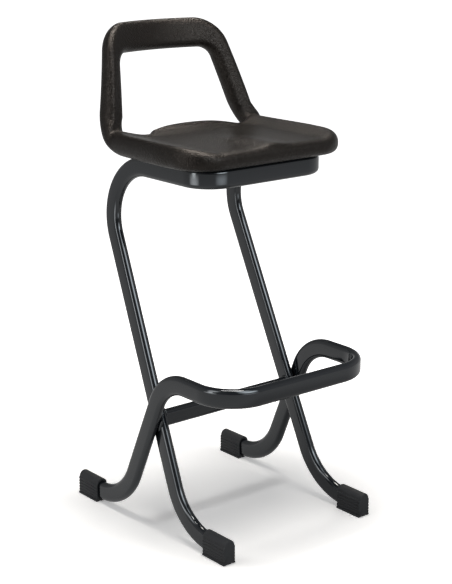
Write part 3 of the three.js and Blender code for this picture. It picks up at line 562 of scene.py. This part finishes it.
# Crossbar welds: a collar of weld all round each end of the crossbar, against the front leg.
collar_radius = 0.0026
collar_round_steps = 24
collar_line_points = 181
for side_name, side in (("left", -1), ("right", 1)):
    outline = flat_oval(crossbar_broad + collar_radius, crossbar_thin + collar_radius, collar_round_steps)
    outline = np.concatenate([outline, outline[:1]])
    line = np.stack([np.full(len(outline), side * (crossbar_half - collar_radius / 2)),
                     crossing_y + outline[:, 0], crossing_z + outline[:, 1]], 1)
    lengths = np.concatenate([[0], np.cumsum(np.linalg.norm(np.diff(line, axis=0), axis=1))])
    even = np.linspace(0, lengths[-1], collar_line_points)
    line = np.stack([np.interp(even, lengths, line[:, i]) for i in range(3)], 1)
    collar = weld_bead(f"bead_crossbar_{side_name}", line, collar_radius, True)
    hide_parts(f"weld_crossbar_{side_name}")
    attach(collar, "root")

# Feet: moulded rubber sleeves pushed over the tube ends, with a round top, five soft ribs along each side
# and a flared base with two grooves. The closed end is thick and its edges are lightly rounded.
foot_length = 0.068
foot_height = 0.050
foot_half_width = 0.0121
foot_rib_depth = 0.0018
foot_rib_count = 5
foot_flare_half = 0.0147
foot_flare_height = 0.003
foot_flare_rise = 0.0018
foot_groove_depth = 0.0012
foot_groove_centre = 0.006
foot_groove_half = 0.0025
foot_groove_points = 30
foot_lip = 0.0006
foot_side_points = 90
foot_rib_fullness = 0.5
foot_top_steps = 24
foot_edge = 0.0022
foot_mouth_edge = 0.0008
foot_mouth_wall = 0.0011
foot_mouth_depth = 0.0016
foot_edge_steps = 7
foot_end_shares = (0.02, 0.5)
bore_round_steps = 40


def foot_outline():
    """Half outline of a foot from the middle of its base to its top, as distance out and height: a base with
    a cosine groove, a flare, the side with a root of a half sine for each rib, and a quarter circle."""
    base = np.linspace(0, foot_flare_half, foot_groove_points)
    groove = np.clip(1 - np.abs(base - foot_groove_centre) / foot_groove_half, 0, 1)
    low = np.stack([base, foot_groove_depth * (1 - np.cos(math.pi * groove)) / 2], 1)
    flare = np.array([
        [foot_flare_half + foot_lip / 2, foot_lip],
        [foot_flare_half + foot_lip / 2, foot_flare_height - foot_lip],
        [foot_flare_half - foot_lip / 3, foot_flare_height],
        [foot_half_width + foot_rib_depth / 2, foot_flare_height + foot_flare_rise * 0.6],
    ])
    rib_low = foot_flare_height + foot_flare_rise
    top_centre = foot_height - foot_half_width
    climb = np.linspace(0, 1, foot_side_points)
    rib = np.abs(np.sin(math.pi * foot_rib_count * climb)) ** foot_rib_fullness
    side = np.stack([foot_half_width + foot_rib_depth * rib, rib_low + (top_centre - rib_low) * climb], 1)
    turn = np.linspace(0, math.pi / 2, foot_top_steps)[1:]
    top = np.stack([foot_half_width * np.cos(turn), top_centre + foot_half_width * np.sin(turn)], 1)
    return np.concatenate([low, flare, side, top])


right_half = foot_outline()
left_half = right_half[1:-1][::-1] * (-1, 1)
foot_section = np.concatenate([right_half, left_half])
foot_middle = np.array([0, tube_axis_height])
bore_outline = flat_oval(tube_broad + 2 * fit_gap, tube_thin + 2 * fit_gap, bore_round_steps)
bore_outline = np.roll(bore_outline, -np.argmin(bore_outline[:, 1]), 0)
bore_outline = np.concatenate([bore_outline, bore_outline[:1]])
bore_lengths = np.concatenate([[0], np.cumsum(np.linalg.norm(np.diff(bore_outline, axis=0), axis=1))])
bore_places = np.linspace(0, 1, len(foot_section), endpoint=False) * bore_lengths[-1]
bore_section = np.stack([np.interp(bore_places, bore_lengths, bore_outline[:, i]) for i in range(2)], 1)
bore_section += foot_middle


def foot_rows():
    """Rows of a foot from its closed end: each is (distance from the end, section). The end's edge is a
    quarter circle by which the section shrinks towards the middle, then the sleeve runs straight to its
    mouth, turns in and goes back down the bore to the end wall."""
    size = np.abs(foot_section - foot_middle).max(0)
    turn = np.linspace(0, math.pi / 2, foot_edge_steps)
    rows = [(0.0, foot_middle + (foot_section - foot_middle) * share) for share in foot_end_shares]
    for angle in turn:
        shrink = 1 - foot_edge * (1 - np.sin(angle)) / size
        rows.append((foot_edge * (1 - math.cos(angle)), foot_middle + (foot_section - foot_middle) * shrink))
    for angle in turn[::-1]:
        shrink = 1 - foot_mouth_edge * (1 - np.sin(angle)) / size
        depth = foot_length - foot_mouth_edge * (1 - math.cos(angle))
        rows.append((depth, foot_middle + (foot_section - foot_middle) * shrink))
    lip = foot_middle + (bore_section - foot_middle) * (1 + foot_mouth_wall / size)
    rows.append((foot_length, lip))
    rows.append((foot_length - foot_mouth_depth, bore_section))
    rows.append((foot_end_wall - fit_gap, bore_section))
    return rows


rubber_colour = (0.018, 0.019, 0.021, 1)
rubber_depth, rubber_roughness, rubber_drift = 0.00012, 0.62, 0.1
rubber_relief = {"Coarse Scale": 240, "Fine Scale": 1800, "Fine Share": 0.5}
rubber, _, _, shader = new_material("foot_rubber")
shader.inputs["Base Color"].default_value = rubber_colour
shader.inputs["IOR"].default_value = 1.45
uneven_finish(rubber, rubber_depth, rubber_roughness, rubber_drift, rubber_relief)
for row, side_name in (("front", "left"), ("front", "right"), ("rear", "left"), ("rear", "right")):
    node = f"foot_{row}_{side_name}"
    low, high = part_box(node)
    way = 1 if row == "front" else -1
    end_y = low.y if row == "front" else high.y
    middle_x = (low.x + high.x) / 2
    grid = np.stack([
        np.stack([middle_x - way * section[:, 0], np.full(len(section), end_y + way * depth),
                  section[:, 1]], 1)
        for depth, section in foot_rows()
    ])
    foot = grid_piece(f"rubber_{node}", grid, sharp_degrees=50)
    foot.data.materials.append(rubber)
    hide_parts(node)
    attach(foot, "root")

# Seat straps: flat steel bars with rolled edges, welded between the rails of the seat frame. They carry the
# moulding, and each has a short bead of weld at both ends.
strap_edge = 0.0012
strap_edge_points = 5
strap_bead_radius = 0.0028
turn = np.linspace(0, math.pi / 2, strap_edge_points)
corner = np.stack([np.cos(turn), np.sin(turn)], 1) * strap_edge
for row in ("front", "rear"):
    node = f"seat_strap_{row}"
    low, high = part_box(node)
    half_width = (high.y - low.y) / 2 - strap_edge
    half_thick = (high.z - low.z) / 2 - strap_edge
    outline = np.concatenate([
        corner + (half_width, half_thick),
        corner[::-1] * (-1, 1) + (-half_width, half_thick),
        -corner + (-half_width, -half_thick),
        corner[::-1] * (1, -1) + (half_width, -half_thick),
    ])
    middle_y, middle_z = (low.y + high.y) / 2, (low.z + high.z) / 2
    ends = np.array([[low.x, middle_y, middle_z], [high.x, middle_y, middle_z]])
    strap = grid_piece(f"flat_{node}", carried(outline, ends, bar_along, bar_across))
    strap.data.materials.append(powder_coat)
    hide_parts(node)
    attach(strap, "root")
    for side_name in ("left", "right"):
        node = f"weld_strap_{row}_{side_name}"
        low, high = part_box(node)
        line = np.linspace((0, low.y, 0), (0, high.y, 0), bead_line_points)
        line[:, 0] = (low.x + high.x) / 2
        line[:, 2] = high.z
        bead = weld_bead(f"bead_{node}", line, strap_bead_radius, False)
        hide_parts(node)
        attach(bead, "root")

# Seat screws and washers: M8 hexagon screws with plain washers, zinc plated, driven from below through the
# straps into the moulded-in inserts.
zinc_colour = (0.55, 0.56, 0.58, 1)
zinc_depth, zinc_roughness, zinc_drift = 0.00004, 0.3, 0.25
zinc_relief = {"Coarse Scale": 300, "Fine Scale": 2500, "Fine Share": 0.6}
screw_across_flats_half = 0.0065
screw_face_radius = 0.0060
screw_head_height = 0.0053
screw_dimple_depth, screw_dimple_radius, screw_dimple_edge = 0.0006, 0.0036, 0.0042
screw_shank_radius, screw_tip_radius, screw_tip_height = 0.004, 0.0032, 0.0008
screw_chamfer = math.radians(30)
washer_bore, washer_bore_edge, washer_edge = 0.0043, 0.0001, 0.0003
axis_radius = 0.0001
round_points = 72
zinc, _, _, shader = new_material("zinc_plate")
shader.inputs["Base Color"].default_value = zinc_colour
shader.inputs["Metallic"].default_value = 1
uneven_finish(zinc, zinc_depth, zinc_roughness, zinc_drift, zinc_relief)
turn = np.linspace(0, 2 * math.pi, round_points, endpoint=False)


def turned_piece(name, node, rows, material):
    """A piece round an upright axis through the middle of its node: rows of (radii over the turn, height)."""
    low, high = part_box(node)
    x, y = (low.x + high.x) / 2, (low.y + high.y) / 2
    grid = np.stack([
        np.stack([x + radii * np.cos(turn), y + radii * np.sin(turn), np.broadcast_to(height, turn.shape)], 1)
        for radii, height in rows
    ])
    piece = grid_piece(name, grid, sharp_degrees=25)
    piece.data.materials.append(material)
    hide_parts(node)
    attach(piece, "root")
    return piece


hexagon = screw_across_flats_half / np.cos((turn + math.pi / 6) % (math.pi / 3) - math.pi / 6)
for row in ("front", "rear"):
    for side_name in ("left", "right"):
        node = f"seat_screw_{row}_{side_name}"
        low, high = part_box(node)
        bottom, top = low.z, low.z + screw_head_height
        chamfer = (hexagon - screw_face_radius) * math.tan(screw_chamfer)
        turned_piece(f"hex_{node}", node, [
            (axis_radius, bottom + screw_dimple_depth),
            (screw_dimple_radius, bottom + screw_dimple_depth),
            (screw_dimple_edge, bottom),
            (screw_face_radius, bottom),
            (hexagon, bottom + chamfer),
            (hexagon, top),
            (screw_shank_radius, top),
            (screw_shank_radius, high.z - screw_tip_height),
            (screw_tip_radius, high.z),
            (axis_radius, high.z),
        ], zinc)
        node = f"seat_washer_{row}_{side_name}"
        low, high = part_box(node)
        radius = (high.x - low.x) / 2
        turned_piece(f"flat_{node}", node, [
            (washer_bore, low.z + washer_bore_edge),
            (washer_bore + 2 * washer_bore_edge, low.z),
            (radius - washer_edge, low.z),
            (radius, low.z + washer_edge),
            (radius, high.z - washer_edge),
            (radius - washer_edge, high.z),
            (washer_bore + 2 * washer_bore_edge, high.z),
            (washer_bore, high.z - washer_bore_edge),
        ], zinc)

# Threaded inserts, insert plate and hoop rod: steel parts that are moulded into the foam and carry the load.
# The inserts are zinc plated like the screws, the others bare mild steel.
steel_colour = (0.26, 0.26, 0.27, 1)
steel_depth, steel_roughness, steel_drift = 0.00008, 0.5, 0.2
steel_relief = {"Coarse Scale": 90, "Fine Scale": 900, "Fine Share": 0.5}
bare_steel, _, _, shader = new_material("bare_steel")
shader.inputs["Base Color"].default_value = steel_colour
shader.inputs["Metallic"].default_value = 1
uneven_finish(bare_steel, steel_depth, steel_roughness, steel_drift, steel_relief)
for row in ("front", "rear"):
    for side_name in ("left", "right"):
        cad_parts[f"threaded_insert_{row}_{side_name}"].data.materials[0] = zinc
for node in ("seat_insert_plate", "back_hoop_rod"):
    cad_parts[node].data.materials[0] = bare_steel

# Seat and back: one moulding of self-skinned foam over the steel insert and the hoop rod. Seen from the
# side it is a thick sheet, level under the sitter and bent up at the rear, with a hole that leaves a ring
# as the back. The seat is dished for the thighs. Lengths s run along the sheet from its front edge.
pad_front_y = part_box("seat_pad")[0].y
pad_bottom = seat_frame_top + fit_gap
pad_depth = 0.320
pad_thickness = 0.044
post_thickness = 0.035
rail_thickness = 0.0285
back_lean = math.radians(13.1)
outer_bend = 0.101
inner_bend = 0.027
back_run = 0.1655
pad_front_half = 0.194
pad_middle_half = 0.202
pad_rear_half = 0.195
back_top_half = 0.1355
pad_middle_share = 0.45
pad_rear_share = 0.5
front_corner = 0.074
side_ease = 0.300
bend_ease = 0.200
top_corner = 0.063
post_width_low = 0.050
post_width_high = 0.0385
rail_height = 0.0565
hole_lead = 0.0045
hole_low_corner = 0.040
hole_high_corner = 0.027
tongue_reach = 0.059
tongue_half_width = 0.121
tongue_blend = 0.008
seat_edge = 0.019
post_edge = 0.010
hole_edge = 0.013
rim_draft = 0.0065
hole_draft = 0.0085
under_squareness = 0.8
over_squareness = 1.0
rail_edge_over = 0.018
hole_edge_over = 0.015
rail_bow = 0.0375
bow_at_base = 0.45
toe_in = 0.075
dish_depth = 0.011
dish_side_inset = 0.008
dish_run_in = 0.070
dish_rear_share = 0.2
pommel_rise = 0.006
pommel_half_width = 0.032
pommel_length = 0.170
pommel_front_run = 0.010
pommel_rear_run = 0.090
post_start_share = 0.4
spoke_counts = (130, 60, 70)
outline_points = 1200
arc_points = 25
tongue_points = 80
edge_rows = 10
across_rows = 26
back_turn = math.pi / 2 - back_lean
back_up = np.array([math.sin(back_lean), math.cos(back_lean)])
back_forward = np.array([-math.cos(back_lean), math.sin(back_lean)])
outer_corner = np.array([pad_front_y + pad_depth, pad_bottom])
outer_end = outer_corner + back_up * (outer_bend * math.tan(back_turn / 2) + back_run)
inner_foot = outer_corner + back_forward * post_thickness
inner_corner = inner_foot + back_up * (pad_bottom + pad_thickness - inner_foot[1]) / back_up[1]
inner_end = outer_end + back_forward * rail_thickness
seat_run = pad_depth - outer_bend * math.tan(back_turn / 2)
bend_run = outer_bend * back_turn
sheet_length = seat_run + bend_run + back_run


def eased(value):
    """Rises from 0 to 1 with level ends: three times the square less twice the cube."""
    share = np.clip(value, 0, 1)
    return share * share * (3 - 2 * share)


def side_line(s, corner, radius, end):
    """Places (y, z) on one side line of the sheet at lengths s: a level run, an arc of the given radius
    tangent to it, and a straight run to its end."""
    tangent = radius * math.tan(back_turn / 2)
    turned = np.clip((s - seat_run) / bend_run, 0, 1) * back_turn
    back_share = np.clip((s - seat_run - bend_run) / back_run, 0, 1)
    bend_end = corner + back_up * tangent
    level = pad_front_y + (corner[0] - tangent - pad_front_y) * np.clip(s / seat_run, 0, 1)
    return (level + radius * np.sin(turned) + (end[0] - bend_end[0]) * back_share,
            corner[1] + radius * (1 - np.cos(turned)) + (end[1] - bend_end[1]) * back_share)


def dish(x, s):
    """How far the top lies below its full height: a hollow that eases in from the sides and the rear, less
    a bell-shaped pommel in the middle of its front."""
    side = eased((pad_middle_half - np.abs(x) - dish_side_inset) / dish_run_in)
    rear = eased((seat_run + bend_run * dish_rear_share - s) / dish_run_in)
    ends = eased(s / pommel_front_run) * eased((pommel_length - s) / pommel_rear_run)
    pommel = pommel_rise * np.exp(-((x / pommel_half_width) ** 2)) * ends
    return (dish_depth * side - pommel) * rear


def moulding(x, s, depth):
    """Points of the moulding: between the under line and the over line by depth, bowed backwards as a
    parabola of x where it rises, its posts turned inwards, and its top lowered by the dish."""
    under_y, under_z = side_line(s, outer_corner, outer_bend, outer_end)
    over_y, over_z = side_line(s, inner_corner, inner_bend, inner_end)
    risen = eased((s - seat_run) / bend_run)
    back_share = np.clip((s - seat_run - bend_run) / back_run, 0, 1)
    bow = rail_bow * risen * (bow_at_base + (1 - bow_at_base) * back_share) * (1 - (x / back_top_half) ** 2)
    return np.stack([
        x * (1 + toe_in * risen * (1 - depth)),
        under_y + (over_y - under_y) * depth + bow,
        under_z + (over_z - under_z) * depth - dish(x, s) * depth ** 2,
    ], -1)


def arc_at(before, corner, after, radius):
    """Points of the arc that rounds a corner between its neighbours."""
    back = (before - corner) / np.linalg.norm(before - corner)
    on = (after - corner) / np.linalg.norm(after - corner)
    half = math.acos(back @ on) / 2
    centre = corner + (back + on) / np.linalg.norm(back + on) * radius / math.sin(half)
    start = corner + back * radius / math.tan(half) - centre
    side = math.copysign(1, start[1] * back[0] - start[0] * back[1])
    turn = side * np.linspace(0, math.pi - 2 * half, arc_points)
    return centre + np.stack([start[0] * np.cos(turn) - start[1] * np.sin(turn),
                              start[0] * np.sin(turn) + start[1] * np.cos(turn)], 1)


def spread(points, count):
    """Points at equal lengths along a line."""
    lengths = np.concatenate([[0], np.cumsum(np.linalg.norm(np.diff(points, axis=0), axis=1))])
    even = np.linspace(0, lengths[-1], count + 1)
    return np.stack([np.interp(even, lengths, points[:, i]) for i in range(2)], 1)


rear_width_s = seat_run + pad_rear_share * bend_run
outer_corners = np.array([
    (0, 0), (pad_front_half, 0), (pad_middle_half, pad_middle_share * seat_run),
    (pad_rear_half, rear_width_s), (back_top_half, sheet_length), (0, sheet_length),
])
outer_arcs = [arc_at(*outer_corners[i:i + 3], radius)
              for i, radius in enumerate((front_corner, side_ease, bend_ease, top_corner))]
outline = spread(np.concatenate([outer_corners[:1], *outer_arcs, outer_corners[5:]]), outline_points)


def post_half(s):
    """Half width of the outer outline along a post."""
    post_run = sheet_length - rear_width_s
    return pad_rear_half + (back_top_half - pad_rear_half) * (s - rear_width_s) / post_run


hole_s = seat_run - hole_lead
hole_top_s = sheet_length - rail_height
hole_low = np.array([post_half(hole_s) - post_width_low, hole_s])
hole_high = np.array([post_half(hole_top_s) - post_width_high, hole_top_s])
low_arc = arc_at(np.array([0, hole_s]), hole_low, hole_high, hole_low_corner)
high_arc = arc_at(hole_low, hole_high, np.array([0, hole_top_s]), hole_high_corner)


def tongue(x):
    """How far the seat's rear edge stands back at x: a parabola with a soft foot."""
    reach = tongue_reach * (1 - (x / tongue_half_width) ** 2)
    return (reach + np.hypot(reach, tongue_blend)) / 2


tongue_x = np.linspace(0, low_arc[0, 0], tongue_points, endpoint=False)
tongue_line = np.stack([tongue_x, hole_s + tongue(tongue_x) - tongue(low_arc[0, 0])], 1)
post_start = np.argmax(outline[:, 1] > seat_run + post_start_share * bend_run)
rail_start = np.argmax(outline[:, 1] > high_arc[0, 1])
outer_stretches = (outline[:post_start + 1], outline[post_start:rail_start + 1], outline[rail_start:])
arc_middle = len(low_arc) // 2
hole_stretches = (
    np.concatenate([tongue_line, low_arc[:arc_middle + 1]]),
    np.concatenate([low_arc[arc_middle:], high_arc[:1]]),
    np.concatenate([high_arc, [(0, hole_top_s)]]),
)


def whole_outline(stretches):
    """Both halves of an outline, each stretch with its number of spokes, and the normals to its left: the
    difference of each point's neighbours, as a unit vector turned by a quarter."""
    parts = [spread(stretch, count) for stretch, count in zip(stretches, spoke_counts)]
    right = np.concatenate([parts[0][:-1], parts[1][:-1], parts[2]])
    points = np.concatenate([right, right[1:-1][::-1] * (-1, 1)])
    along = np.roll(points, -1, 0) - np.roll(points, 1, 0)
    along /= np.linalg.norm(along, axis=1, keepdims=True)
    return points, np.stack([-along[:, 1], along[:, 0]], 1)


rim, rim_inward = whole_outline(outer_stretches)
hole, hole_inward = whole_outline(hole_stretches)
rim_risen = eased((rim[:, 1:] - seat_run) / bend_run)
hole_risen = eased((hole[:, 1:] - seat_run) / bend_run)
rim_rail = eased((rim[:, 1:] - seat_run - bend_run) / back_run)
rim_radius = seat_edge + (post_edge - seat_edge) * rim_risen
rim_over = seat_edge + (post_edge - seat_edge) * rim_risen + (rail_edge_over - post_edge) * rim_rail
angles = np.linspace(-math.pi / 2, math.pi / 2, 2 * edge_rows + 1)
squareness = np.where(angles > 0, over_squareness, under_squareness)
inset = 1 - np.cos(angles) ** squareness
height = (1 + np.sign(np.sin(angles)) * np.abs(np.sin(angles)) ** squareness) / 2
shares = np.linspace(0, 1, across_rows + 1)[1:-1]


def edge_spots(share, depth):
    """Places on the rounded outer edge and on the hole's edge: each stands in by a share of its radius. Where
    the back rises, the outer edge widens and the hole does too, in proportion to the depth."""
    lift = depth - 0.5
    radius, hole_radius = (rim_over, hole_edge_over) if lift > 0 else (rim_radius, hole_edge)
    return (rim + rim_inward * (radius * share - rim_draft * lift * rim_risen),
            hole - hole_inward * (hole_radius * share + hole_draft * lift * hole_risen))


rows = [(edge_spots(share, depth)[0], depth) for share, depth in zip(inset, height)]
for side_depth, order in ((1, 1), (0, -1)):
    from_rim, from_hole = edge_spots(1, side_depth)
    rows += [(from_rim + (from_hole - from_rim) * share, side_depth) for share in shares[::order]]
    if side_depth:
        rows += [(edge_spots(share, depth)[1], depth) for share, depth in zip(inset[::-1], height[::-1])]
pad_grid = np.stack([moulding(spot[:, 0], spot[:, 1], depth) for spot, depth in rows])
seat_and_back = grid_piece("seat_and_back", pad_grid, wrap_rows=True, sharp_degrees=180)

# Its skin is black-brown with a fine pebble grain: small domes, glossier on their crests than in the valleys
# between, which wander because the cells they stand on are warped. Their colour is painted light: a painted
# highlight makes the crests lighter, and painted shade makes the valleys between them darker.
skin_tint = (1, 0.885, 0.8, 1)
skin_valley_painted_shade = (0.001, 0.0007, 0.0005, 1)
skin_crest_painted_highlight = (0.0095, 0.0064, 0.0048, 1)
skin_gloss_level = 0.36
valley_roughness, crest_gloss = 0.33, -0.1
pebble_scale, pebble_softness, pebble_depth = 390, 0.4, 0.00075
crest_ends_at, valley_starts_at = 0.1, 0.42
wander_scale, wander_reach = 160, 0.0026
foam_skin, nodes, links, shader = new_material("foam_skin")
shader.inputs["IOR"].default_value = 1.45
shader.inputs["Specular IOR Level"].default_value = skin_gloss_level
shader.inputs["Specular Tint"].default_value = skin_tint
place = nodes.new("ShaderNodeTexCoord").outputs["Object"]
wander = nodes.new("ShaderNodeTexNoise")
wander.inputs["Scale"].default_value = wander_scale
links.new(place, wander.inputs["Vector"])
warped = nodes.new("ShaderNodeVectorMath")
warped.operation = "MULTIPLY_ADD"
links.new(wander.outputs["Color"], warped.inputs[0])
warped.inputs[1].default_value = (wander_reach, wander_reach, wander_reach)
links.new(place, warped.inputs[2])
pebbles = nodes.new("ShaderNodeTexVoronoi")
pebbles.feature = "SMOOTH_F1"
pebbles.inputs["Scale"].default_value = pebble_scale
pebbles.inputs["Smoothness"].default_value = pebble_softness
links.new(warped.outputs[0], pebbles.inputs["Vector"])
bump = nodes.new("ShaderNodeBump")
bump.inputs["Distance"].default_value = pebble_depth
bump.invert = True
links.new(pebbles.outputs["Distance"], bump.inputs["Height"])
links.new(bump.outputs["Normal"], shader.inputs["Normal"])
# Mask from the pebbles' distance: it paints a highlight on the crests and shade in the valleys, and it also
# lowers the roughness on the crests.
crest = nodes.new("ShaderNodeMapRange")
for socket, value in zip(crest.inputs[1:5], (crest_ends_at, valley_starts_at, 1, 0)):
    socket.default_value = value
links.new(pebbles.outputs["Distance"], crest.inputs["Value"])
painted_grain_shading = nodes.new("ShaderNodeMix")
painted_grain_shading.data_type = "RGBA"
painted_grain_shading.inputs[6].default_value = skin_valley_painted_shade
painted_grain_shading.inputs[7].default_value = skin_crest_painted_highlight
links.new(crest.outputs["Result"], painted_grain_shading.inputs["Factor"])
links.new(painted_grain_shading.outputs[2], shader.inputs["Base Color"])
rough = math_node(nodes, links, "MULTIPLY_ADD", crest.outputs["Result"], crest_gloss, valley_roughness)
links.new(rough, shader.inputs["Roughness"])
seat_and_back.data.materials.append(foam_skin)
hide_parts("seat_pad")
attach(seat_and_back, "root")

low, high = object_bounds()
